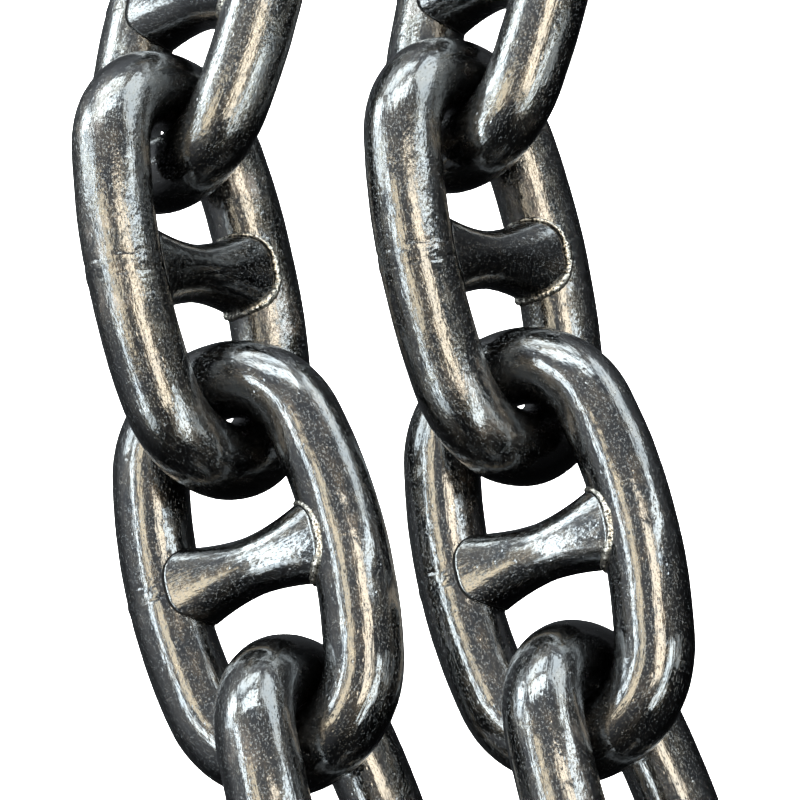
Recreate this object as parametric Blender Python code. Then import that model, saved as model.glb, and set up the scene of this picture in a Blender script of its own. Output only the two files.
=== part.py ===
"""Two strands of studded anchor chain, lying side by side on a level floor.

Each link is one round bar bent and welded into a closed oval, with a separate stud wedged
across its middle. The links hang loosely in each other, so each one lies rolled over the
opposite way to the one before it. The strands run along Y, and the origin is at the middle
of the heap, on the floor. Metres, +Z up.
"""

from collections import namedtuple
from math import atan2, copysign, cos, pi, radians, sin

import bmesh
import bpy
from mathutils import Euler, Matrix, Vector
from mathutils.bvhtree import BVHTree

# The bar's diameter drives the chain: every other size is a multiple of it
BAR = 0.076
LINK_LENGTH = 6.0 * BAR
LINK_WIDTH = 3.6 * BAR
CROWN_RADIUS = 1.15 * BAR  # of the bar's centreline, round each end
STUD_WAIST = 0.76 * BAR
STUD_FOOT = 1.24 * BAR  # along the link
STUD_FOOT_THICKNESS = 0.92 * BAR  # across the link's plane
STUD_REACH = 1.13 * BAR  # from the link's middle to the ends of the uncut stud
STUD_FLARE = 1.7  # how late the waist opens out to the foot
WAIST_ROUNDNESS = 2.0  # exponent of the section's superellipse, 2 for a true ellipse
FOOT_ROUNDNESS = 3.2

# Clearance between pieces that bear on each other
GAP = 0.0003

# How finely round shapes are faceted
BAR_SIDES = 12
CROWN_STEPS = 11
SIDE_STEPS = 3
STUD_SIDES = 16
STUD_STATIONS = 8

# Shortest and longest distance between the middles of two linked links
SLACK_PITCH = 3.5 * BAR
OVERDRAWN_PITCH = 4.5 * BAR
PITCH_HALVINGS = 20

# How a link lies. Bearing is the way from the link before it, in degrees from -Y towards +X.
# Heading turns its length from +Y towards -X, pitch lifts its +Y end and roll tips it over, in
# degrees. Rise is how far its neighbours hold it off the floor, in bar diameters.
Lay = namedtuple("Lay", "bearing heading pitch roll rise", defaults=[0])

STRANDS = {
    "right": {
        "first_link_at": (2.06 * BAR, 9.15 * BAR),
        "links": [
            Lay(bearing=0, heading=-8, pitch=0, roll=45),
            Lay(bearing=-10.5, heading=-12.5, pitch=0, roll=-51.5),
            Lay(bearing=-3, heading=10.5, pitch=7.5, roll=45),
            Lay(bearing=10, heading=11.5, pitch=-4, roll=-28.5, rise=0.23),
            Lay(bearing=15, heading=17, pitch=0, roll=52),
            Lay(bearing=17, heading=18, pitch=0, roll=-45),
        ],
    },
    "left": {
        "first_link_at": (-1.77 * BAR, 8.96 * BAR),
        "links": [
            Lay(bearing=0, heading=-9, pitch=0, roll=45),
            Lay(bearing=-11, heading=-12.5, pitch=1, roll=-46),
            Lay(bearing=-1.5, heading=11, pitch=7, roll=50),
            Lay(bearing=11.5, heading=13.5, pitch=-3, roll=-24, rise=0.37),
            Lay(bearing=16.5, heading=17, pitch=-1.5, roll=57),
            Lay(bearing=17, heading=16, pitch=4, roll=-45),
        ],
    },
}

OBJECT_NAME = "anchor_chain"


def clear_scene():
    """Removes whatever the file opened with."""
    for obj in list(bpy.data.objects):
        bpy.data.objects.remove(obj)


def new_collection(name):
    collection = bpy.data.collections.new(name)
    bpy.context.scene.collection.children.link(collection)
    return collection


def paint(name, color, roughness, metallic):
    """A Principled material for one kind of piece."""
    material = bpy.data.materials.new(name)
    material.use_nodes = True
    shader = material.node_tree.nodes["Principled BSDF"]
    shader.inputs["Base Color"].default_value = (*color, 1.0)
    shader.inputs["Roughness"].default_value = roughness
    shader.inputs["Metallic"].default_value = metallic
    material.diffuse_color = (*color, 1.0)
    return material


def link_centreline():
    """Points of the bar's centreline: two tight crowns joined by two slightly bowed sides.

    The length is along Y and the width along X. Each side and each crown has a step that
    lies square across its middle.
    """
    half = (LINK_LENGTH - BAR) / 2
    wide = (LINK_WIDTH - BAR) / 2
    crown_at = half - CROWN_RADIUS
    side_radius = (crown_at**2 + wide**2 - CROWN_RADIUS**2) / (2 * (wide - CROWN_RADIUS))
    side_at = side_radius - wide
    crown_turn = atan2(side_at, crown_at)
    points = []
    for end in (1, -1):
        for step in range(CROWN_STEPS):
            angle = crown_turn * (1 - 2 * step / CROWN_STEPS)
            points.append((end * CROWN_RADIUS * sin(angle), end * (crown_at + CROWN_RADIUS * cos(angle))))
        for step in range(SIDE_STEPS):
            angle = (pi / 2 - crown_turn) * (1 - 2 * step / SIDE_STEPS)
            points.append((-end * (side_radius * cos(angle) - side_at), end * side_radius * sin(angle)))
    return points


def bar_mesh(name, radius):
    """The closed oval of round bar, as a mesh."""
    curve = bpy.data.curves.new(name, "CURVE")
    curve.dimensions = "3D"
    curve.twist_mode = "Z_UP"
    curve.bevel_depth = radius
    curve.bevel_resolution = (BAR_SIDES - 4) // 2
    spline = curve.splines.new("POLY")
    points = link_centreline()
    spline.points.add(len(points) - 1)
    for point, (x, y) in zip(spline.points, points):
        point.co = (x, y, 0.0, 1.0)
    spline.use_cyclic_u = True
    holder = bpy.data.objects.new(name, curve)
    bpy.context.scene.collection.objects.link(holder)
    mesh = evaluated_mesh(holder)
    bpy.data.objects.remove(holder)
    return mesh


def evaluated_mesh(obj):
    """A copy of an object's shape with its modifiers applied, its doubles merged and its faces outwards."""
    depsgraph = bpy.context.evaluated_depsgraph_get()
    mesh = bpy.data.meshes.new_from_object(obj.evaluated_get(depsgraph), depsgraph=depsgraph)
    shape = bmesh.new()
    shape.from_mesh(mesh)
    bmesh.ops.remove_doubles(shape, verts=shape.verts, dist=1e-6)
    bmesh.ops.recalc_face_normals(shape, faces=shape.faces)
    shape.to_mesh(mesh)
    shape.free()
    mesh.shade_smooth()
    mesh.set_sharp_from_angle(angle=radians(50))
    return mesh


def stud_section(x):
    """Corners of the uncut stud's section at x: round at the waist, a rounded oblong at the feet."""
    opening = abs(x / STUD_REACH) ** STUD_FLARE
    long = (STUD_WAIST + (STUD_FOOT - STUD_WAIST) * opening) / 2
    thick = (STUD_WAIST + (STUD_FOOT_THICKNESS - STUD_WAIST) * opening) / 2
    power = 2 / (WAIST_ROUNDNESS + (FOOT_ROUNDNESS - WAIST_ROUNDNESS) * opening)
    corners = []
    for side in range(STUD_SIDES):
        turn = 2 * pi * side / STUD_SIDES
        y = copysign(long * abs(cos(turn)) ** power, cos(turn))
        z = copysign(thick * abs(sin(turn)) ** power, sin(turn))
        corners.append((x, y, z))
    return corners


def stud_blank():
    """The forged stud laid across the link, before its feet are cut to the bar."""
    shape = bmesh.new()
    rings = []
    for station in range(STUD_STATIONS + 1):
        x = STUD_REACH * (2 * station / STUD_STATIONS - 1)
        rings.append([shape.verts.new(corner) for corner in stud_section(x)])
    for ring, following in zip(rings, rings[1:]):
        for side in range(STUD_SIDES):
            after = (side + 1) % STUD_SIDES
            shape.faces.new((ring[side], ring[after], following[after], following[side]))
    shape.faces.new(rings[0])
    shape.faces.new(rings[-1])
    mesh = bpy.data.meshes.new("stud_blank")
    bmesh.ops.recalc_face_normals(shape, faces=shape.faces)
    shape.to_mesh(mesh)
    shape.free()
    return mesh


def stud_mesh(cutters):
    """The stud, with a saddle cut in each foot for the bar."""
    cutter = bpy.data.objects.new("saddle_cutter", bar_mesh("saddle_cutter", BAR / 2 + GAP))
    cutter.hide_render = True
    cutter.display_type = "WIRE"
    cutters.objects.link(cutter)
    holder = bpy.data.objects.new("stud_blank", stud_blank())
    bpy.context.scene.collection.objects.link(holder)
    saddle = holder.modifiers.new("saddle", "BOOLEAN")
    saddle.operation = "DIFFERENCE"
    saddle.solver = "EXACT"
    saddle.object = cutter
    mesh = evaluated_mesh(holder)
    bpy.data.objects.remove(holder)
    return mesh


def turned(lay):
    """A link's orientation. Flat and straight, its length is along Y and its width along X."""
    return Euler((radians(lay.pitch), radians(lay.roll), radians(lay.heading)), "YXZ").to_matrix().to_4x4()


def resting_at(mesh, lay, x, y):
    """The matrix that lays a link down with its middle over x, y."""
    rotation = turned(lay)
    lowest = min((rotation @ v.co).z for v in mesh.vertices)
    return Matrix.Translation((x, y, lay.rise * BAR - lowest)) @ rotation


def solid_tree(mesh, matrix):
    corners = [matrix @ v.co for v in mesh.vertices]
    return BVHTree.FromPolygons(corners, [tuple(p.vertices) for p in mesh.polygons])


def lay_strand(mesh, strand):
    """Places the links one after another, each drawn along until it bears on the one before."""
    x, y = strand["first_link_at"]
    first, *others = strand["links"]
    placed = [resting_at(mesh, first, x, y)]
    for lay in others:
        before = placed[-1]
        tree = solid_tree(mesh, before)
        way = Vector((sin(radians(lay.bearing)), -cos(radians(lay.bearing)), 0.0))

        def drawn(pitch):
            spot = before.translation + way * pitch
            return resting_at(mesh, lay, spot.x, spot.y)

        free, tight = SLACK_PITCH, OVERDRAWN_PITCH
        for _ in range(PITCH_HALVINGS):
            middle = (free + tight) / 2
            if tree.overlap(solid_tree(mesh, drawn(middle))):
                tight = middle
            else:
                free = middle
        placed.append(drawn(free - GAP))
    return placed


def centred(matrices, mesh):
    """The shift that puts the heap's middle over the origin."""
    corners = [matrix @ v.co for matrix in matrices for v in mesh.vertices]
    middle_x = (min(c.x for c in corners) + max(c.x for c in corners)) / 2
    middle_y = (min(c.y for c in corners) + max(c.y for c in corners)) / 2
    return Matrix.Translation((-middle_x, -middle_y, 0.0))


def main():
    clear_scene()
    chain = new_collection(OBJECT_NAME)
    cutters = new_collection("cutters")

    link = bar_mesh("link", BAR / 2)
    link.materials.append(paint("black_bitumen_paint", (0.016, 0.017, 0.019), 0.24, 0.0))
    stud = stud_mesh(cutters)
    stud.materials.append(paint("rubbed_stud_paint", (0.055, 0.057, 0.06), 0.34, 0.3))

    places = {side: lay_strand(link, strand) for side, strand in STRANDS.items()}
    shift = centred([matrix for matrices in places.values() for matrix in matrices], link)
    for side, matrices in places.items():
        strand = bpy.data.objects.new(side + "_strand", None)
        chain.objects.link(strand)
        for number, matrix in enumerate(matrices, start=1):
            for kind, mesh in (("link", link), ("stud", stud)):
                piece = bpy.data.objects.new(f"{side}_{kind}_{number}", mesh)
                chain.objects.link(piece)
                piece.parent = strand
                piece.matrix_world = shift @ matrix


main()
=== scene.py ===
"""Looks of two strands of studded anchor chain, dipped in black bitumen paint.

One link and one stud are modelled here, lying flat with their length along Y and their width
along X, and each is copied onto every node of its kind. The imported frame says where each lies.
Lengths are in metres.
"""

from __future__ import annotations

import logging
from collections.abc import Callable, Iterator
from contextlib import contextmanager
from dataclasses import dataclass, field
from enum import Enum
from math import atan2, cos, exp, hypot, pi, radians, sin, sqrt, tan

import bpy
import numpy as np
from mathutils import Matrix, Vector, noise


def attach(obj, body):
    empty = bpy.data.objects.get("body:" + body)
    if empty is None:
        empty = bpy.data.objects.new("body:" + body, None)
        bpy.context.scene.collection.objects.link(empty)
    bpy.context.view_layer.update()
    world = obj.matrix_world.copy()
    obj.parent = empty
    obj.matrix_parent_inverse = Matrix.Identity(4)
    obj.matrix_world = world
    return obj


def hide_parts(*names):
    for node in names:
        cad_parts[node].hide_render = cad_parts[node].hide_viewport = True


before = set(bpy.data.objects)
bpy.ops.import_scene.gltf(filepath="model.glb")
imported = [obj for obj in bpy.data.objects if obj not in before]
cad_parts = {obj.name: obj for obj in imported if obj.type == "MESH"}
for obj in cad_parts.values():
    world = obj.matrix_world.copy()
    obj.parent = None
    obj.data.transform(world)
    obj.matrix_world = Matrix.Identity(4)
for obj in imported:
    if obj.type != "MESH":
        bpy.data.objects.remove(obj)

LOG = logging.getLogger("anchor_chain")

MM = 0.001
WRAP = "bar_wrap"  # the attribute that follows a bar's surface: round it in X and Y, along it in Z
WEAR = "paint_wear"  # the attribute that says how far the paint is rubbed, from 0 to 1


class Strand(Enum):
    """The two lengths of chain, by the side that they lie on."""

    RIGHT = "right"
    LEFT = "left"


class Slot(Enum):
    """The record's material slots."""

    LINK = "link_paint"
    STUD = "stud_paint"


def linear(hex_colour: str) -> tuple[float, float, float, float]:
    """Turns an sRGB hex colour to linear.

    Args:
        hex_colour: Such as "#1a2b3c".

    Returns:
        Linear red, green and blue, and an alpha of 1.
    """
    shares = [int(hex_colour[i : i + 2], 16) / 255 for i in (1, 3, 5)]
    red, green, blue = (s / 12.92 if s <= 0.04045 else ((s + 0.055) / 1.055) ** 2.4 for s in shares)
    return red, green, blue, 1.0


def add_node(
    tree: bpy.types.NodeTree, kind: str, settings: dict | None = None, links: dict | None = None
) -> bpy.types.Node:
    """Adds one node with its settings and links.

    Args:
        tree: The node tree that it goes into.
        kind: Its type after "ShaderNode", such as "TexNoise".
        settings: Values by the name of a property, or by the name or number of an input.
        links: Output sockets by the name or number of the input that each feeds.

    Returns:
        The new node.
    """
    node = tree.nodes.new("ShaderNode" + kind)
    for name, value in (settings or {}).items():
        if isinstance(name, str) and name.islower():
            setattr(node, name, value)
        else:
            node.inputs[name].default_value = value
    for name, socket in (links or {}).items():
        tree.links.new(socket, node.inputs[name])
    return node


def start_material(name: str) -> bpy.types.Material:
    """Makes a material with an empty node tree.

    Args:
        name: The finish's name.

    Returns:
        The material.
    """
    material = bpy.data.materials.new(name)
    material.use_nodes = True
    material.node_tree.nodes.clear()
    return material


def deselect_all() -> None:
    """Clears the selection, which the frame's nodes start in."""
    for obj in bpy.context.selected_objects:
        obj.select_set(False)


@contextmanager
def editing(obj: bpy.types.Object) -> Iterator[None]:
    """Holds an object in edit mode, alone in the selection.

    Args:
        obj: The mesh object to edit.

    Yields:
        Nothing; edit mode ends with the block.
    """
    deselect_all()
    bpy.context.view_layer.objects.active = obj
    obj.select_set(True)
    bpy.ops.object.mode_set(mode="EDIT")
    yield
    bpy.ops.object.mode_set(mode="OBJECT")


def apply_modifier(obj: bpy.types.Object, kind: str, **settings: object) -> None:
    """Adds one modifier and applies it at once.

    Args:
        obj: The object that it shapes.
        kind: The modifier's type.
        **settings: Its settings.
    """
    deselect_all()
    bpy.context.view_layer.objects.active = obj
    obj.select_set(True)
    modifier = obj.modifiers.new(kind.lower(), kind)
    for name, value in settings.items():
        setattr(modifier, name, value)
    bpy.ops.object.modifier_apply(modifier=modifier.name)


def settle(obj: bpy.types.Object) -> None:
    """Puts an object's place into its mesh, so that the object itself sits at the origin.

    Args:
        obj: The mesh object.
    """
    deselect_all()
    bpy.context.view_layer.objects.active = obj
    obj.select_set(True)
    bpy.ops.object.transform_apply(location=True, rotation=True, scale=True)


def corner_values(mesh: bpy.types.Mesh, by_vertex: np.ndarray) -> np.ndarray:
    """Spreads values that a mesh's vertices have over its faces' corners.

    Args:
        mesh: The mesh.
        by_vertex: A value or a row of values for each vertex.

    Returns:
        The same for each corner.
    """
    corners = np.zeros(len(mesh.loops), np.int64)
    mesh.loops.foreach_get("vertex_index", corners)
    return by_vertex[corners]


def store_wrap(mesh: bpy.types.Mesh, wraps: np.ndarray) -> None:
    """Stores the place of each corner on the bar that it belongs to."""
    attribute = mesh.attributes.new(WRAP, "FLOAT_VECTOR", "CORNER")
    attribute.data.foreach_set("vector", wraps.ravel())


@dataclass(frozen=True)
class BarOval:
    """The closed oval that a link's bar is bent to: two tight crowns and two slightly bowed sides.

    The flash weld is in the middle of the -X side. Places along the bar start there and run
    towards +Y.
    """

    bar: float = 76 * MM
    length_in_bars: float = 6.0
    width_in_bars: float = 3.6
    crown_radius_in_bars: float = 1.15

    @property
    def crown_radius(self) -> float:
        """Radius of the bar's centreline round a crown."""
        return self.crown_radius_in_bars * self.bar

    @property
    def half_width(self) -> float:
        """From the link's middle to the bar's centreline, across the link."""
        return (self.width_in_bars - 1) * self.bar / 2

    @property
    def crown_at(self) -> float:
        """From the link's middle to the centre of a crown's bend."""
        return (self.length_in_bars - 1) * self.bar / 2 - self.crown_radius

    @property
    def side_radius(self) -> float:
        """Radius of the bar's centreline along a side."""
        over = self.half_width - self.crown_radius
        return (self.crown_at**2 + self.half_width**2 - self.crown_radius**2) / (2 * over)

    @property
    def side_centre(self) -> float:
        """From the link's middle to the centre of a side's bow, which is beyond the other side."""
        return self.side_radius - self.half_width

    @property
    def crown_turn(self) -> float:
        """Half of the angle that the bar turns through at a crown."""
        return atan2(self.side_centre, self.crown_at)

    @property
    def half_side(self) -> float:
        """Length of bar from the middle of a side to the start of a crown."""
        return self.side_radius * (pi / 2 - self.crown_turn)

    @property
    def around(self) -> float:
        """Length of bar in the whole oval."""
        return 4 * (self.half_side + self.crown_radius * self.crown_turn)

    def station(self, point: Vector) -> tuple[float, float]:
        """Finds where a point is along the bar and how far out of its centreline.

        Args:
            point: A point in or on the bar.

        Returns:
            The length of bar from the flash weld, and the distance outwards from the centreline
            in the link's plane.
        """
        across, up = abs(point.x), abs(point.y)
        turned = atan2(across, up - self.crown_at)
        if 0 <= turned <= self.crown_turn:
            along = self.half_side + self.crown_radius * (self.crown_turn - turned)
            out = hypot(across, up - self.crown_at) - self.crown_radius
        else:
            along = self.side_radius * atan2(up, across + self.side_centre)
            out = hypot(across + self.side_centre, up) - self.side_radius
        if point.x > 0:
            along = self.around / 2 - along
        return (along if point.y >= 0 else self.around - along), out

    def off_bar(self, y: float, z: float, lift: float) -> Vector:
        """Finds the point that is lifted off the bar's inner face, along the face's normal.

        Args:
            y: Place along the link.
            z: Height over the link's plane.
            lift: Distance from the face.

        Returns:
            The point.
        """
        rise = min(2 * z / self.bar, 1.0)
        return Vector((self.inner_face(y, z) - lift * sqrt(1 - rise**2), y, z + lift * rise))

    def inner_face(self, y: float, z: float) -> float:
        """Finds how far the bar's inner face is from the link's middle, at a side.

        Args:
            y: Place along the link.
            z: Height over the link's plane.

        Returns:
            The distance along X.
        """
        middle = sqrt(self.side_radius**2 - y**2) - self.side_centre
        return middle - sqrt(max((self.bar / 2) ** 2 - z**2, 0.0))


@dataclass(frozen=True)
class FlashWeld:
    """The ring of upset metal where the bar's two ends were butted and welded, trimmed roughly."""

    reach: float = 13 * MM
    height: float = 0.6 * MM
    groove: float = 0.9 * MM
    groove_width: float = 1.3 * MM
    wander: float = 7 * MM  # how far the ridge strays from the middle
    lump: float = 9 * MM

    def swell(self, along: float, spot: Vector) -> float:
        """Says how far the weld lifts the bar's surface.

        Args:
            along: Distance from the weld's middle.
            spot: Place on the surface, which the unevenness follows.

        Returns:
            The lift, along the surface's normal.
        """
        wander = self.wander * noise.noise(spot / (self.lump * 2))
        ridge = exp(-(((along - wander) / (self.reach / 2.2)) ** 4))
        edge = exp(-(((abs(along - wander) - self.reach / 1.7) / self.groove_width) ** 2))
        rough = 0.4 + 1.3 * noise.noise(spot / (self.lump * 0.8) + Vector((7, 3, 1)))
        fine = 0.3 * noise.noise(spot / (self.lump / 5))
        return self.height * ridge * (rough + fine) - self.groove * edge * max(rough + 0.2, 0.1)


@dataclass
class LinkBar:
    """One link's bar: a ring of metal spun round the oval's four bends and closed at the weld."""

    oval: BarOval = field(default_factory=BarOval)
    weld: FlashWeld = field(default_factory=FlashWeld)
    sides: int = 64
    ring_spacing: float = 3.4 * MM
    weld_spacing: float = 1.2 * MM
    weld_margin: float = 1.4  # how much bar on each side of the weld has the close rings, in its reaches
    crown_wear: float = 0.4  # how far the paint is rubbed at the crowns, against the sides
    crown_shade_in_bars: float = 0.22  # how far from a crown's middle the wear starts to grow
    wear_growth_in_bars: float = 1.1  # and the length that it takes to grow to 1

    def model(self) -> bpy.types.Object:
        """Builds the bar, lying flat.

        Returns:
            The bar as a mesh object.
        """
        oval = self.oval
        deselect_all()
        bpy.ops.mesh.primitive_circle_add(
            vertices=self.sides,
            radius=oval.bar / 2,
            location=(-oval.half_width, 0, 0),
            rotation=(pi / 2, 0, 0),
        )
        bar = bpy.context.object
        bar.name = "link_bar"
        settle(bar)
        weld_turn = self.weld.reach * self.weld_margin / oval.side_radius
        side_turn = pi / 2 - oval.crown_turn - weld_turn
        side = (oval.side_centre, 0.0)
        with editing(bar):
            bpy.ops.mesh.select_all(action="SELECT")
            self.bend(side, oval.side_radius, weld_turn, self.weld_spacing)
            self.bend(side, oval.side_radius, side_turn, self.ring_spacing)
            self.bend((0.0, oval.crown_at), oval.crown_radius, 2 * oval.crown_turn, self.ring_spacing)
            far_side_turn = 2 * (side_turn + weld_turn)
            self.bend((-oval.side_centre, 0.0), oval.side_radius, far_side_turn, self.ring_spacing)
            self.bend((0.0, -oval.crown_at), oval.crown_radius, 2 * oval.crown_turn, self.ring_spacing)
            self.bend(side, oval.side_radius, side_turn, self.ring_spacing)
            self.bend(side, oval.side_radius, weld_turn, self.weld_spacing)
            bpy.ops.mesh.select_all(action="SELECT")
            bpy.ops.mesh.remove_doubles(threshold=0.1 * MM)
            bpy.ops.mesh.normals_make_consistent(inside=False)
        self.raise_weld(bar.data)
        bar.data.shade_smooth()
        return bar

    def bend(self, centre: tuple[float, float], radius: float, turn: float, spacing: float) -> None:
        """Draws the selected ring on round one bend, clockwise seen from above.

        Args:
            centre: The bend's centre, in the link's plane.
            radius: Its radius at the bar's centreline.
            turn: The angle to draw it through.
            spacing: The distance between rings.
        """
        steps = max(2, round(radius * turn / spacing))
        bpy.ops.mesh.spin(steps=steps, angle=turn, center=(*centre, 0), axis=(0, 0, 1))

    def raise_weld(self, mesh: bpy.types.Mesh) -> None:
        """Lifts the flash weld's ridge out of the bar's surface.

        Args:
            mesh: The bar, lying flat.
        """
        lifts = {}
        for vertex in mesh.vertices:
            along, _ = self.oval.station(vertex.co)
            beyond = min(along, self.oval.around - along)
            if beyond < 2 * self.weld.reach:
                signed = beyond if along < self.oval.around / 2 else -beyond
                lifts[vertex.index] = vertex.normal * self.weld.swell(signed, vertex.co)
        for index, lift in lifts.items():
            mesh.vertices[index].co += lift

    def wrap(self, mesh: bpy.types.Mesh) -> None:
        """Stores where each corner lies on the bar, so that a finish can run along it.

        Args:
            mesh: The bar, still lying flat.
        """
        places, wear = [], []
        for vertex in mesh.vertices:
            along, out = self.oval.station(vertex.co)
            places.append((out, vertex.co.z, along))
            from_crown = abs(abs(along - self.oval.around / 2) - self.oval.around / 4) / self.oval.bar
            grown = (from_crown - self.crown_shade_in_bars) / self.wear_growth_in_bars
            wear.append(min(max(grown, self.crown_wear), 1.0))
        mesh.attributes.new(WEAR, "FLOAT", "POINT").data.foreach_set("value", wear)
        wraps = corner_values(mesh, np.array(places))
        half = self.oval.around / 2
        for face in mesh.polygons:
            loops = slice(face.loop_start, face.loop_start + face.loop_total)
            along = wraps[loops, 2]
            if along.max() - along.min() > half:
                wraps[loops, 2] = np.where(along < half, along + self.oval.around, along)
        store_wrap(mesh, wraps)


@dataclass(frozen=True)
class WeldBead:
    """The bead of weld round a stud's foot, thinner towards +Y, with a welder's ripples."""

    size: float = 3.9 * MM
    fullness: float = 0.7  # the bead's usual thickness, as a share of its size
    thinning: float = 0.25  # how much less that is towards +Y, and more towards -Y
    spread: float = 1.25  # its width, against its height
    seam_share: float = 1.025  # how far out of the stud's middle it lies, as a share of the seam
    ripples: int = 31  # in the half that shows
    ripple_depth: float = 0.07
    lump: float = 9 * MM
    fine_lump: float = 2.6 * MM
    lumpiness: float = 0.3
    rings: int = 360
    sides: int = 16

    def model(self, oval: BarOval, seam: Callable[[float], Vector]) -> bpy.types.Object:
        """Builds the bead: a torus laid along the seam.

        Args:
            oval: The bar that it is welded to.
            seam: Gives the seam's point at each angle round the stud, from +Y towards +Z.

        Returns:
            The bead as a mesh object.
        """
        deselect_all()
        bpy.ops.mesh.primitive_torus_add(
            major_segments=self.rings, minor_segments=self.sides, major_radius=1.0, minor_radius=0.25
        )
        bead = bpy.context.object
        bead.name = "weld_bead"
        for vertex in bead.data.vertices:
            turn = atan2(vertex.co.y, vertex.co.x)
            round_bead = atan2(vertex.co.z, hypot(vertex.co.x, vertex.co.y) - 1.0)
            edge = seam(turn)
            spot = oval.off_bar(edge.y * self.seam_share, edge.z * self.seam_share, lift=0.0)
            ahead = (seam(turn + 0.01) - seam(turn - 0.01)).normalized()
            out = Vector((0, cos(turn), sin(turn)))
            out = (out - ahead * out.dot(ahead)).normalized()
            beside = ahead.cross(out)
            surface = spot + self.size * (out * cos(round_bead) + beside * sin(round_bead))
            thick = self.size * self.thickness(turn, spot, surface)
            vertex.co = spot + out * thick * cos(round_bead) + beside * thick * self.spread * sin(round_bead)
        with editing(bead):
            bpy.ops.mesh.select_all(action="SELECT")
            bpy.ops.mesh.normals_make_consistent(inside=False)
        bead.data.shade_smooth()
        return bead

    def thickness(self, turn: float, spot: Vector, surface: Vector) -> float:
        """Says how thick the bead is at a place, with its ripples and lumps.

        Args:
            turn: Angle round the stud.
            spot: Middle of the bead there.
            surface: The place on an even bead's surface.

        Returns:
            The thickness, as a share of the bead's size.
        """
        uneven = 3 * noise.noise(Vector((turn * 2, 5, 0)))
        ripple = self.ripple_depth * abs(sin(turn * self.ripples + uneven))
        lumps = noise.noise(spot / self.lump) + noise.noise(surface / self.fine_lump)
        return self.fullness - self.thinning * cos(turn) + ripple + self.lumpiness * lumps


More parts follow.
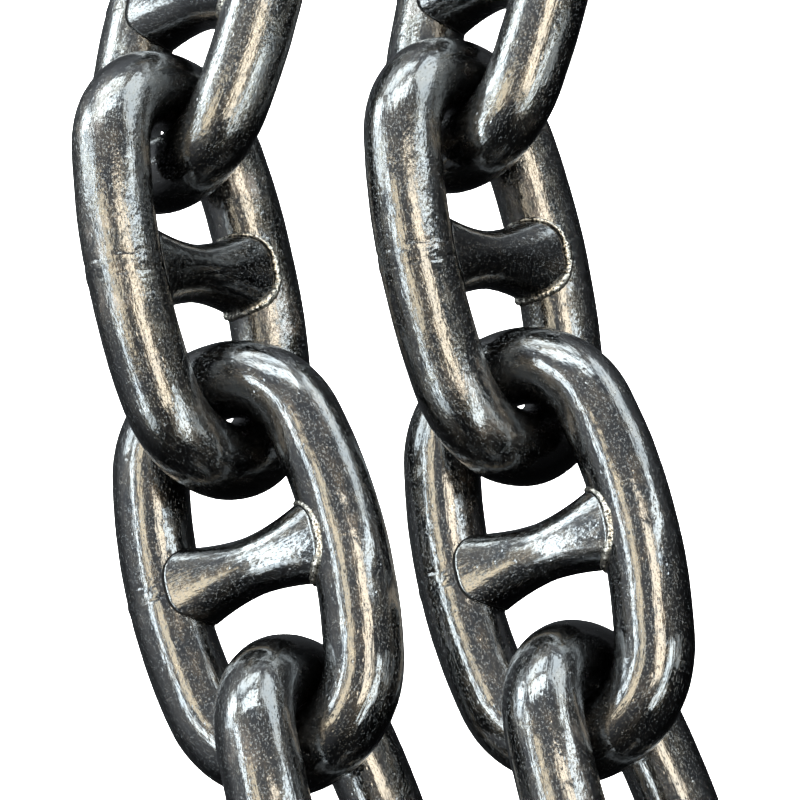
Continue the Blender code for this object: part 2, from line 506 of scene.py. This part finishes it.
@dataclass
class WedgedStud:
    """The forged stud across a link's middle: waisted, with feet that saddle the bar's two sides.

    The foot at +X is welded to the bar and the one at -X only bears on it.
    """

    oval: BarOval = field(default_factory=BarOval)
    waist_in_bars: float = 0.76
    foot_in_bars: float = 1.24
    foot_thickness_in_bars: float = 0.92
    reach_in_bars: float = 1.13
    flare: float = 1.7  # how late the waist opens out to the foot
    waist_roundness: float = 2.0  # exponent of the section's superellipse, 2 for a true ellipse
    foot_roundness: float = 3.2
    sides: int = 88
    stations: int = 26
    saddle_rings: int = 7
    gap: float = 2.4 * MM  # the crack between a foot and the bar
    gap_floor: float = 0.955  # where the crack ends under the foot, as a share of the way to the seam
    clearance: float = 0.5 * MM
    rim: float = 1.4 * MM
    rim_angle: float = 38.0  # edges sharper than this many degrees are rounded
    seam_steps: int = 16  # how often the seam's place is worked out anew, each time closer
    bead: WeldBead = field(default_factory=WeldBead)

    def girth(self, x: float, turn: float) -> tuple[float, float]:
        """Finds a point of the stud's outside.

        Args:
            x: Distance from the link's middle.
            turn: Angle round the stud, from +Y towards +Z.

        Returns:
            The point's Y and Z.
        """
        opening = min(abs(x) / (self.reach_in_bars * self.oval.bar), 1.0) ** self.flare
        long = self.waist_in_bars + (self.foot_in_bars - self.waist_in_bars) * opening
        thick = self.waist_in_bars + (self.foot_thickness_in_bars - self.waist_in_bars) * opening
        roundness = self.waist_roundness + (self.foot_roundness - self.waist_roundness) * opening
        inverse = abs(cos(turn) / long) ** roundness + abs(sin(turn) / thick) ** roundness
        radius = inverse ** (-1 / roundness) * self.oval.bar / 2
        return radius * cos(turn), radius * sin(turn)

    def seam(self, turn: float) -> Vector:
        """Finds where the outside of the +X foot meets the bar, by drawing closer step by step.

        Args:
            turn: Angle round the stud, from +Y towards +Z.

        Returns:
            The point on the bar.
        """
        x = self.oval.half_width - self.oval.bar / 2
        for _ in range(self.seam_steps):
            y, z = self.girth(x, turn)
            x = self.oval.inner_face(y, z)
        return Vector((x, y, z))

    def extrude_ring(self, stud: bpy.types.Object, place: Callable[[float], Vector]) -> None:
        """Extrudes the selected ring of edges and puts the new ring in its place.

        Args:
            stud: The object in edit mode.
            place: Gives a point of the new ring for each angle round the stud.
        """
        bpy.ops.mesh.extrude_region_move()
        self.place_ring(stud, place)

    def place_ring(self, stud: bpy.types.Object, place: Callable[[float], Vector]) -> None:
        """Puts each selected vertex where the given ring is at that vertex's angle round X.

        Args:
            stud: The object in edit mode.
            place: Gives a point of the ring for each angle round the stud.
        """
        bpy.ops.object.mode_set(mode="OBJECT")
        for vertex in stud.data.vertices:
            if vertex.select:
                step = 2 * pi / self.sides
                vertex.co = place(step * round(atan2(vertex.co.z, vertex.co.y) / step))
        bpy.ops.object.mode_set(mode="EDIT")

    def model(
        self, paint: bpy.types.Material, crack: bpy.types.Material, weld: bpy.types.Material
    ) -> bpy.types.Object:
        """Builds the stud with its weld bead.

        Args:
            paint: Finish of the stud.
            crack: Painted shade for the crack between its feet and the bar.
            weld: Finish of the bead.

        Returns:
            The stud as a mesh object.
        """
        deselect_all()
        bpy.ops.mesh.primitive_circle_add(
            vertices=self.sides, radius=self.oval.bar / 4, rotation=(0, pi / 2, 0)
        )
        stud = bpy.context.object
        stud.name = "stud"
        settle(stud)
        with editing(stud):
            bpy.ops.mesh.select_all(action="SELECT")
            self.place_ring(stud, lambda turn: Vector((0, *self.girth(0, turn))))
            for station in range(1, self.stations + 1):
                self.extrude_ring(stud, lambda turn: self.outside(turn, station / self.stations))
            self.extrude_ring(stud, lambda turn: self.on_bar(turn, self.gap_floor))
            self.extrude_ring(stud, lambda turn: self.on_bar(turn, 1.0))
            for ring in range(1, self.saddle_rings):
                self.extrude_ring(stud, lambda turn: self.on_bar(turn, 1 - ring / self.saddle_rings))
            bpy.ops.mesh.extrude_region_move()
            bpy.ops.mesh.merge(type="CENTER")
            bpy.ops.mesh.select_all(action="SELECT")
            bpy.ops.mesh.normals_make_consistent(inside=False)
        self.seat_centre(stud.data)
        stud.data.materials.append(paint)
        stud.data.materials.append(crack)
        # The crack's faces get the painted shade, a dull black where the crack's shadow falls.
        for face in stud.data.polygons:
            rings = [vertex // self.sides for vertex in face.vertices]
            if self.stations <= min(rings) and max(rings) <= self.stations + 2:
                face.material_index = 1
        apply_modifier(stud, "MIRROR", use_axis=(True, False, False), merge_threshold=0.05 * MM)
        apply_modifier(
            stud,
            "BEVEL",
            width=self.rim,
            segments=2,
            limit_method="ANGLE",
            angle_limit=radians(self.rim_angle),
            use_clamp_overlap=True,
        )
        with editing(stud):
            bpy.ops.mesh.select_all(action="SELECT")
            bpy.ops.mesh.normals_make_consistent(inside=False)
        stud.data.shade_smooth()
        bead = self.bead.model(self.oval, self.seam)
        bead.data.materials.append(weld)
        deselect_all()
        bead.select_set(True)
        stud.select_set(True)
        bpy.context.view_layer.objects.active = stud
        bpy.ops.object.join()
        return stud

    def wrap(self, mesh: bpy.types.Mesh) -> None:
        """Stores where each corner lies on the stud, whose own length is across the link."""
        store_wrap(mesh, corner_values(mesh, np.array([(v.co.y, v.co.z, v.co.x) for v in mesh.vertices])))
        mesh.attributes.new(WEAR, "FLOAT", "POINT").data.foreach_set("value", np.ones(len(mesh.vertices)))

    def outside(self, turn: float, share: float) -> Vector:
        """Finds a point of the stud's outside, by its share of the way from the waist to the seam."""
        x = (self.seam(turn).x - self.gap) * share
        return Vector((x, *self.girth(x, turn)))

    def on_bar(self, turn: float, share: float) -> Vector:
        """Finds a point just off the bar, by its share of the way from the middle to the seam."""
        edge = self.seam(turn)
        return self.oval.off_bar(edge.y * share, edge.z * share, self.clearance)

    def seat_centre(self, mesh: bpy.types.Mesh) -> None:
        """Moves the middle of the saddle's face onto the face, from where the merge left it."""
        middle = min(mesh.vertices, key=lambda v: hypot(v.co.y, v.co.z))
        middle.co = (self.oval.inner_face(0, 0) - self.clearance, 0, 0)


@dataclass(frozen=True)
class BitumenPaint:
    """Bitumen paint, brushed thinly on hot-forged steel.

    It is black and glossy, so it mirrors the lamps and windows in streaks along the bar, and the
    forging's grain breaks the streaks up into grains and sparkles. On the tops it is worn, which
    shows as flecks of steel and a few scratches as fine as hairs. On what faces up it turns brown
    in patches, which stand for paint worn to brown and are also a painted warm sheen of the lamps
    overhead. Where it has gathered it is smooth.
    """

    name: str = "black_bitumen_paint"
    black: str = "#17181a"
    # brown of worn paint on up-facing tops, which is also a painted warm sheen
    brown: str = "#302a23"
    steel: str = "#4a463e"
    # rust colour, laid only on the up-facing tops that carry the painted warm sheen
    rust: str = "#4f443c"
    scratch: str = "#6f6a62"
    smooth: float = 0.14  # roughness where the paint has gathered
    dull: float = 0.3  # and where it is thin
    blotch: float = 13 * MM
    worn_patch: float = 70 * MM
    streak: float = 3 * MM
    streak_depth: float = 0.22 * MM
    hammering: float = 7 * MM
    hammering_depth: float = 0.3 * MM
    pit_spacing: float = 7 * MM
    pit_depth: float = 0.25 * MM
    granule: float = 3.4 * MM
    granule_depth: float = 0.16 * MM
    grain: float = 1.4 * MM
    grain_depth: float = 0.28 * MM
    grit_depth: float = 0.35 * MM
    curl: float = 22 * MM
    hairline: float = 0.004  # half of a scratch's width, as a share of the noise that it follows

    def material(self) -> bpy.types.Material:
        """Builds the material.

        Returns:
            The material, with nodes.
        """
        material = start_material(self.name)
        tree = material.node_tree
        wrap = add_node(tree, "Attribute", {"attribute_name": WRAP}).outputs["Vector"]
        drawn = add_node(tree, "Mapping", {"Scale": (1, 1, 0.55)}, {"Vector": wrap}).outputs[0]
        blotch = add_node(
            tree, "TexNoise", {"Scale": 1 / self.blotch, "Detail": 5, "Roughness": 0.65}, {"Vector": drawn}
        ).outputs[0]
        grain = add_node(
            tree, "TexNoise", {"Scale": 1 / self.grain, "Detail": 2, "Roughness": 0.6}, {"Vector": drawn}
        ).outputs[0]
        patches = add_node(
            tree,
            "TexNoise",
            {"Scale": 1 / self.worn_patch, "Detail": 2, "Roughness": 0.5},
            {"Vector": wrap},
        ).outputs[0]
        wear = add_node(tree, "Attribute", {"attribute_name": WEAR}).outputs["Fac"]
        worn = add_node(
            tree,
            "MapRange",
            {"From Min": 0.4, "From Max": 0.58, "To Min": 0.5, "To Max": 1.1},
            {"Value": patches},
        ).outputs[0]
        rubbed = add_node(tree, "Math", {"operation": "MULTIPLY"}, {0: wear, 1: worn}).outputs[0]
        # Brown on up-facing tops: worn paint, and a painted warm sheen of the lamps overhead.
        thin_and_sheen = self.thin_and_sheen_tops(tree, blotch)
        # Rust in patches, laid only on the up-facing brown, so it carries the painted warm sheen too.
        rusted = add_node(
            tree, "MapRange", {"From Min": 0.56, "From Max": 0.66, "To Max": 0.8}, {"Value": patches}
        ).outputs[0]
        rust_and_sheen_top = add_node(tree, "Math", {"operation": "MULTIPLY"}, {0: rusted, 1: thin_and_sheen}).outputs[0]
        rust_and_sheen = add_node(tree, "Math", {"operation": "MULTIPLY"}, {0: rust_and_sheen_top, 1: wear}).outputs[0]

        # Black paint, turned brown where the up-facing tops carry worn paint and painted sheen.
        paint = add_node(
            tree, "Mix", {"data_type": "RGBA", 6: linear(self.black), 7: linear(self.brown)}, {0: thin_and_sheen}
        ).outputs[2]
        flecked = add_node(
            tree,
            "Mix",
            {"data_type": "RGBA", 7: linear(self.steel)},
            {0: self.flecks(tree, blotch, grain, rubbed), 6: paint},
        ).outputs[2]
        # Rust colour by the rust mask, which is limited to the painted-sheen tops.
        browned = add_node(
            tree, "Mix", {"data_type": "RGBA", 7: linear(self.rust)}, {0: rust_and_sheen, 6: flecked}
        ).outputs[2]
        colour = add_node(
            tree,
            "Mix",
            {"data_type": "RGBA", 7: linear(self.scratch)},
            {0: self.scratches(tree, wrap, blotch), 6: browned},
        ).outputs[2]
        metal = add_node(tree, "Math", {"operation": "SUBTRACT", 0: 1.0}, {1: rust_and_sheen}).outputs[0]
        rough = add_node(
            tree,
            "MapRange",
            {"From Min": 0.35, "From Max": 0.65, "To Min": self.smooth, "To Max": self.dull},
            {"Value": blotch},
        ).outputs[0]
        forged = self.forged(tree, wrap, drawn)
        under = add_node(
            tree,
            "Bump",
            {"Distance": self.grain_depth},
            {"Height": grain, "Normal": forged, "Strength": rubbed},
        ).outputs[0]
        # A bitumen film mirrors a little more than a clear lacquer, hence the coat's IOR
        shader = add_node(
            tree,
            "BsdfPrincipled",
            {"Coat Weight": 1.0, "Coat Roughness": 0.05, "Coat IOR": 1.7},
            {
                "Base Color": colour,
                "Metallic": metal,
                "Roughness": rough,
                "Normal": under,
                "Coat Normal": self.skin(tree, drawn, grain, forged, rubbed),
            },
        )
        add_node(tree, "OutputMaterial", links={"Surface": shader.outputs[0]})
        return material

    def thin_and_sheen_tops(self, tree: bpy.types.NodeTree, blotch: bpy.types.NodeSocket) -> bpy.types.NodeSocket:
        """Says where the tops turn brown, in blotches on what faces up: worn paint, and a painted warm
        sheen.

        Args:
            tree: The material's node tree.
            blotch: Noise as coarse as the blotches.

        Returns:
            From 0 for black paint to 1 for the brown of worn paint and painted sheen.
        """
        # Only what faces up turns brown: this part is a painted warm sheen where light from overhead falls.
        normal = add_node(tree, "NewGeometry").outputs["Normal"]
        height = add_node(tree, "SeparateXYZ", links={0: normal}).outputs["Z"]
        top = add_node(
            tree,
            "MapRange",
            {"interpolation_type": "SMOOTHSTEP", "From Min": 0.3, "From Max": 0.98},
            {"Value": height},
        ).outputs[0]
        thin_and_sheen = add_node(tree, "MapRange", {"From Min": 0.4, "From Max": 0.62}, {"Value": blotch}).outputs[0]
        return add_node(tree, "Math", {"operation": "MULTIPLY"}, {0: top, 1: thin_and_sheen}).outputs[0]

    def flecks(
        self,
        tree: bpy.types.NodeTree,
        blotch: bpy.types.NodeSocket,
        grain: bpy.types.NodeSocket,
        rubbed: bpy.types.NodeSocket,
    ) -> bpy.types.NodeSocket:
        """Says where steel shows through the paint, on the crests of the grain.

        Args:
            tree: The material's node tree.
            blotch: Noise as coarse as the blotches.
            grain: Noise as fine as the grain.
            rubbed: How far the paint is rubbed off.

        Returns:
            From 0 for paint to 1 for steel.
        """
        crest = add_node(tree, "MapRange", {"From Min": 0.4, "From Max": 0.64}, {"Value": grain}).outputs[0]
        patch = add_node(
            tree, "MapRange", {"From Min": 0.38, "From Max": 0.6, "To Min": 0.25}, {"Value": blotch}
        ).outputs[0]
        bared = add_node(tree, "Math", {"operation": "MULTIPLY"}, {0: rubbed, 1: patch}).outputs[0]
        return add_node(tree, "Math", {"operation": "MULTIPLY"}, {0: crest, 1: bared}).outputs[0]

    def scratches(
        self, tree: bpy.types.NodeTree, wrap: bpy.types.NodeSocket, blotch: bpy.types.NodeSocket
    ) -> bpy.types.NodeSocket:
        """Says where a curly scratch runs: along a level line of coarse noise, here and there.

        Args:
            tree: The material's node tree.
            wrap: Place on the bar.
            blotch: Noise as coarse as the blotches.

        Returns:
            From 0 for none to 1 in a scratch.
        """
        curls = add_node(
            tree, "TexNoise", {"Scale": 1 / self.curl, "Detail": 1, "Distortion": 1.2}, {"Vector": wrap}
        ).outputs[0]
        line = add_node(
            tree, "Math", {"operation": "COMPARE", 1: 0.5, 2: self.hairline}, {0: curls}
        ).outputs[0]
        scuffed = add_node(
            tree, "MapRange", {"From Min": 0.56, "From Max": 0.6}, {"Value": blotch}
        ).outputs[0]
        return add_node(tree, "Math", {"operation": "MULTIPLY"}, {0: line, 1: scuffed}).outputs[0]

    def forged(
        self, tree: bpy.types.NodeTree, wrap: bpy.types.NodeSocket, drawn: bpy.types.NodeSocket
    ) -> bpy.types.NodeSocket:
        """Builds the relief that the steel has from the mill and the hammer.

        Args:
            tree: The material's node tree.
            wrap: Place on the bar.
            drawn: The same, drawn out along the bar.

        Returns:
            The normal, with the mill's streaks, the hammer's flats and the scale's pits.
        """
        rolled = add_node(tree, "Mapping", {"Scale": (1, 1, 0.1)}, {"Vector": wrap}).outputs[0]
        streaks = add_node(
            tree, "TexNoise", {"Scale": 1 / self.streak, "Detail": 3, "Roughness": 0.6}, {"Vector": rolled}
        ).outputs[0]
        flats = add_node(
            tree,
            "TexNoise",
            {"Scale": 1 / self.hammering, "Detail": 1, "Roughness": 0.5},
            {"Vector": drawn},
        ).outputs[0]
        spots = add_node(
            tree, "TexVoronoi", {"Scale": 1 / self.pit_spacing}, {"Vector": drawn}
        ).outputs["Distance"]
        pits = add_node(tree, "MapRange", {"From Min": 0.05, "From Max": 0.2}, {"Value": spots}).outputs[0]
        streaked = add_node(
            tree, "Bump", {"Distance": self.streak_depth, "Strength": 1.0}, {"Height": streaks}
        ).outputs[0]
        hammered = add_node(
            tree,
            "Bump",
            {"Distance": self.hammering_depth, "Strength": 1.0},
            {"Height": flats, "Normal": streaked},
        ).outputs[0]
        return add_node(
            tree,
            "Bump",
            {"Distance": self.pit_depth, "Strength": 0.8},
            {"Height": pits, "Normal": hammered},
        ).outputs[0]

    def skin(
        self,
        tree: bpy.types.NodeTree,
        drawn: bpy.types.NodeSocket,
        grain: bpy.types.NodeSocket,
        forged: bpy.types.NodeSocket,
        rubbed: bpy.types.NodeSocket,
    ) -> bpy.types.NodeSocket:
        """Builds the relief of the paint's own surface over the forging.

        Args:
            tree: The material's node tree.
            drawn: Place on the bar, drawn out along it.
            grain: Noise as fine as the grain.
            forged: The normal of the steel under the paint.
            rubbed: How far the paint is rubbed off.

        Returns:
            The normal, with grit stuck in the paint, its granules and the grain that shows through.
        """
        grit = add_node(tree, "MapRange", {"From Min": 0.585, "From Max": 0.8}, {"Value": grain}).outputs[0]
        cells = add_node(
            tree, "TexVoronoi", {"Scale": 1 / self.granule}, {"Vector": drawn}
        ).outputs["Distance"]
        granules = add_node(
            tree,
            "MapRange",
            {"interpolation_type": "SMOOTHSTEP", "From Min": 0.8, "From Max": 0.0},
            {"Value": cells},
        ).outputs[0]
        gritty = add_node(
            tree, "Bump", {"Distance": self.grit_depth, "Strength": 1.0}, {"Height": grit, "Normal": forged}
        ).outputs[0]
        granular = add_node(
            tree,
            "Bump",
            {"Distance": self.granule_depth},
            {"Height": granules, "Normal": gritty, "Strength": rubbed},
        ).outputs[0]
        return add_node(
            tree,
            "Bump",
            {"Distance": self.grain_depth / 2},
            {"Height": grain, "Normal": granular, "Strength": rubbed},
        ).outputs[0]


@dataclass(frozen=True)
class PaintedCrackShade:
    """A dull black laid in the crack at a stud's foot: painted shade, so that the crack shows."""

    name: str = "dried_bitumen"
    black: str = "#060606"
    dull: float = 0.8

    def material(self) -> bpy.types.Material:
        """Builds the material.

        Returns:
            The material, with nodes.
        """
        material = start_material(self.name)
        tree = material.node_tree
        shader = add_node(
            tree,
            "BsdfPrincipled",
            {"Base Color": linear(self.black), "Roughness": self.dull, "Specular IOR Level": 0.1},
        )
        add_node(tree, "OutputMaterial", links={"Surface": shader.outputs[0]})
        return material


@dataclass(frozen=True)
class WeldMetal:
    """Arc-welded steel whose paint has come off the crests: bright specks of metal among black ones."""

    name: str = "painted_weld_metal"
    bright: str = "#b0aaa0"
    dark: str = "#1b1a19"
    satin: float = 0.36
    speck: float = 2.2 * MM
    speck_depth: float = 0.3 * MM

    def material(self) -> bpy.types.Material:
        """Builds the material.

        Returns:
            The material, with nodes.
        """
        material = start_material(self.name)
        tree = material.node_tree
        place = add_node(tree, "TexCoord").outputs["Object"]
        specks = add_node(
            tree, "TexNoise", {"Scale": 1 / self.speck, "Detail": 3, "Roughness": 0.7}, {"Vector": place}
        ).outputs[0]
        bare = add_node(tree, "MapRange", {"From Min": 0.4, "From Max": 0.56}, {"Value": specks}).outputs[0]
        colour = add_node(
            tree, "Mix", {"data_type": "RGBA", 6: linear(self.dark), 7: linear(self.bright)}, {0: bare}
        ).outputs[2]
        rough = add_node(
            tree, "Bump", {"Distance": self.speck_depth, "Strength": 1.0}, {"Height": specks}
        ).outputs[0]
        shader = add_node(
            tree,
            "BsdfPrincipled",
            {"Metallic": 1.0, "Roughness": self.satin},
            {"Base Color": colour, "Normal": rough},
        )
        add_node(tree, "OutputMaterial", links={"Surface": shader.outputs[0]})
        return material


def lie_of(node: str) -> Matrix:
    """Finds how a link lies, from the spread of its CAD solid's corners.

    Args:
        node: Name of the link's node.

    Returns:
        The matrix that lays a flat link there.
    """
    corners = np.array([tuple(round(c, 6) for c in v.co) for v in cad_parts[node].data.vertices])
    corners = np.unique(corners, axis=0)
    middle = corners.mean(axis=0)
    _, axes = np.linalg.eigh(np.cov((corners - middle).T))
    normal, length = Vector(axes[:, 0]), Vector(axes[:, 2])
    normal *= 1 if normal.z > 0 else -1
    length *= 1 if length.y > 0 else -1
    across = length.cross(normal)
    turn = Matrix((across, length, normal)).transposed()
    return Matrix.Translation(middle) @ turn.to_4x4()


@dataclass(frozen=True)
class Wear:
    """How far one link's paint is rubbed off, on its bar and on its stud."""

    link: float
    stud: float


@dataclass
class AnchorChain:
    """Both strands: a link and a stud for every pair of nodes in the frame."""

    link: LinkBar = field(default_factory=LinkBar)
    stud: WedgedStud = field(default_factory=WedgedStud)
    wear: tuple[Wear, ...] = (
        Wear(0.8, 0.4), Wear(1.3, 0.4), Wear(1.1, 0.2), Wear(0.25, 0.35), Wear(0.5, 0.4), Wear(0.8, 0.4)
    )
    wave: float = 45 * MM
    wave_depth: float = 1.0 * MM
    finish_step: float = 1.7  # how far along its pattern each link's finish starts, past the one before

    def build(self) -> list[bpy.types.Object]:
        """Models the link and the stud once, and lays a copy of each on every node.

        Returns:
            All the pieces.
        """
        pieces = []
        paint = BitumenPaint().material()
        link = self.link.model()
        link.data.materials.append(paint)
        stud = self.stud.model(paint, PaintedCrackShade().material(), WeldMetal().material())
        self.link.wrap(link.data)
        self.stud.wrap(stud.data)
        waves = bpy.data.textures.new("forging_waves", "CLOUDS")
        waves.noise_scale = self.wave
        waves.noise_depth = 2
        start = 0.0
        for strand in Strand:
            for number, wear in enumerate(self.wear, start=1):
                start += self.finish_step
                lie = lie_of(f"{strand.value}_link_{number}")
                bar = self.lay(link, f"{strand.value}_link_bar_{number}", lie, start, wear.link)
                apply_modifier(bar, "DISPLACE", texture=waves, strength=self.wave_depth, mid_level=0.5)
                self.enter(bar, f"{strand.value}_link_{number}")
                crossbar = self.lay(stud, f"{strand.value}_wedged_stud_{number}", lie, start, wear.stud)
                self.enter(crossbar, f"{strand.value}_stud_{number}")
                pieces += [bar, crossbar]
        for template in (link, stud):
            bpy.data.objects.remove(template)
        return pieces

    def lay(
        self, template: bpy.types.Object, name: str, lie: Matrix, start: float, wear: float
    ) -> bpy.types.Object:
        """Copies a template and lays the copy where a node is.

        Args:
            template: The flat link or stud.
            name: The copy's name.
            lie: The matrix that lays a flat link at the node.
            start: Shifts the finish along the bar, so that no two links look the same.
            wear: How far its paint is rubbed off.

        Returns:
            The copy, with its place in its mesh.
        """
        mesh = template.data.copy()
        mesh.name = name
        mesh.transform(lie)
        wraps = np.zeros(3 * len(mesh.loops))
        mesh.attributes[WRAP].data.foreach_get("vector", wraps)
        wraps[2::3] += start
        mesh.attributes[WRAP].data.foreach_set("vector", wraps)
        shares = np.zeros(len(mesh.vertices))
        mesh.attributes[WEAR].data.foreach_get("value", shares)
        mesh.attributes[WEAR].data.foreach_set("value", shares * wear)
        piece = bpy.data.objects.new(name, mesh)
        bpy.context.scene.collection.objects.link(piece)
        return piece

    def enter(self, piece: bpy.types.Object, node: str) -> None:
        """Enters a finished piece in the frame, in its node's place.

        Args:
            piece: The finished piece.
            node: The CAD node that it replaces.
        """
        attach(piece, "root")
        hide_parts(node)
        LOG.info("%s stands for %s, %d faces", piece.name, node, len(piece.data.polygons))


@dataclass(frozen=True)
class SoftBox:
    """A soft box on a dome over the chain, facing the dome's centre. All angles are in degrees."""

    name: str
    colour: str
    bearing: float  # from +Y towards +X
    from_zenith: float
    width: float  # level, as seen from the dome's centre
    height: float
    radiance: float
    distance: float = 5.0

    def hang(self, lit: bpy.types.Collection) -> None:
        """Adds the light.

        Args:
            lit: What it lights, which alone can shade it.
        """
        data = bpy.data.lights.new(self.name, "AREA")
        data.shape = "RECTANGLE"
        data.size = 2 * self.distance * tan(radians(self.width / 2))
        data.size_y = 2 * self.distance * tan(radians(self.height / 2))
        data.color = linear(self.colour)[:3]
        data.energy = self.radiance * pi * data.size * data.size_y
        light = bpy.data.objects.new(self.name, data)
        round_dome = Matrix.Rotation(radians(-self.bearing), 4, "Z")
        down_dome = Matrix.Rotation(radians(-self.from_zenith), 4, "X")
        light.matrix_world = round_dome @ down_dome @ Matrix.Translation((0, 0, self.distance))
        light.visible_camera = False
        light.light_linking.receiver_collection = lit
        light.light_linking.blocker_collection = lit
        bpy.context.scene.collection.objects.link(light)


@dataclass
class Studio:
    """The pale floor, the lights and the camera."""

    floor_size: float = 60.0
    floor_colour: str = "#d8d8d6"
    floor_depth: float = 3.2 * MM
    room_colour: str = "#dfe6ee"
    bright_way: tuple[float, float, float] = (-0.58, 0.77, 0.27)  # to the windows, the far left
    dimmest: float = 0.05
    brightest: float = 1.25
    camera_at: tuple[float, float, float] = (-0.0616, -0.9024, 3.0792)
    camera_elevation: float = 73.108
    camera_roll: float = -0.806
    lens: float = 144.0
    lights: tuple[SoftBox, ...] = (
        SoftBox("lamp_right", "#fff4de", 90, 14, 44, 19, 13.0),
        SoftBox("lamp_left", "#fbeecf", -88, 35, 30, 14, 8.5),
        SoftBox("window_right", "#e6f3f7", 118, 44, 46, 12, 14.0),
        SoftBox("window_right_low", "#e6f3f7", 94, 66, 20, 10, 4.0),
        SoftBox("window_left", "#e0eef4", -97, 55, 58, 8, 18.0),
        SoftBox("window_left_low", "#e0eef4", -63, 79, 26, 19, 11.0),
        SoftBox("window_near_left", "#e0eef4", -131, 63, 24, 12, 9.0),
        SoftBox("window_far", "#e6f3f7", -15, 53, 42, 14, 15.0),
        SoftBox("window_far_low", "#e6f3f7", -15, 72, 42, 13, 11.0),
        SoftBox("window_far_left", "#e6f3f7", -54, 76, 18, 18, 10.0),
        SoftBox("window_far_right", "#e3f0f5", 36, 70, 36, 24, 7.5),
        SoftBox("window_far_right_strip", "#e3f0f5", 59, 51, 6, 36, 14.0),
    )
    overhead: SoftBox = SoftBox("floor_light", "#ffffff", 0, 0, 110, 110, 14.0, 4.0)

    def build(self, chain: list[bpy.types.Object]) -> None:
        """Sets up the floor, the lights and the camera.

        Args:
            chain: The chain's pieces, which have lights of their own, so that the floor stays plain.
        """
        for strand in Strand:
            lit_strand = bpy.data.collections.new("lit_strand")
            for piece in chain:
                if piece.name.startswith(strand.value):
                    lit_strand.objects.link(piece)
            for light in self.lights:
                light.hang(lit_strand)
        floor = self.lay_floor()
        lit_floor = bpy.data.collections.new("lit_floor")
        lit_floor.objects.link(floor)
        self.overhead.hang(lit_floor)
        self.set_world()
        self.set_camera()

    def lay_floor(self) -> bpy.types.Object:
        """Lays a wide matt floor, which the chain doesn't mirror."""
        deselect_all()
        bpy.ops.mesh.primitive_plane_add(size=self.floor_size, location=(0, 0, -self.floor_depth))
        floor = bpy.context.object
        floor.name = "studio_floor"
        settle(floor)
        material = start_material("matt_floor")
        tree = material.node_tree
        shader = add_node(tree, "BsdfDiffuse", {"Color": linear(self.floor_colour)})
        add_node(tree, "OutputMaterial", links={"Surface": shader.outputs[0]})
        floor.data.materials.append(material)
        floor.visible_glossy = False
        return floor

    def set_world(self) -> None:
        """Gives the room a dim light that is stronger on the windows' side, the far left."""
        world = bpy.data.worlds.new("studio_room")
        world.use_nodes = True
        tree = world.node_tree
        way = add_node(tree, "TexCoord").outputs["Generated"]
        towards = add_node(
            tree, "VectorMath", {"operation": "DOT_PRODUCT", 1: self.bright_way}, {0: way}
        ).outputs["Value"]
        walls = add_node(
            tree,
            "MapRange",
            {"From Min": -0.4, "From Max": 1.0, "To Min": self.dimmest, "To Max": self.brightest},
            {"Value": towards},
        ).outputs[0]
        rise = add_node(tree, "SeparateXYZ", links={0: way}).outputs["Z"]
        above = add_node(
            tree, "MapRange", {"From Min": -0.5, "From Max": 0.05, "To Min": 0.15}, {"Value": rise}
        ).outputs[0]
        strength = add_node(tree, "Math", {"operation": "MULTIPLY"}, {0: walls, 1: above}).outputs[0]
        background = tree.nodes["Background"]
        background.inputs["Color"].default_value = linear(self.room_colour)
        tree.links.new(strength, background.inputs["Strength"])
        bpy.context.scene.world = world
        bpy.context.scene.view_settings.view_transform = "Standard"

    def set_camera(self) -> None:
        """Sets the camera where the photograph was taken from."""
        data = bpy.data.cameras.new("camera")
        data.lens = self.lens
        data.sensor_width = 36.0
        camera = bpy.data.objects.new("camera", data)
        tilt = Matrix.Rotation(radians(90 - self.camera_elevation), 4, "X")
        roll = Matrix.Rotation(radians(self.camera_roll), 4, "Z")
        camera.matrix_world = Matrix.Translation(self.camera_at) @ tilt @ roll
        bpy.context.scene.collection.objects.link(camera)
        bpy.context.scene.camera = camera


def main() -> None:
    """Builds the chain and its studio."""
    logging.basicConfig(level=logging.INFO, format="%(name)s: %(message)s")
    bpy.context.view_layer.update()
    chain = AnchorChain().build()
    Studio().build(chain)


if __name__ == "__main__":
    main()
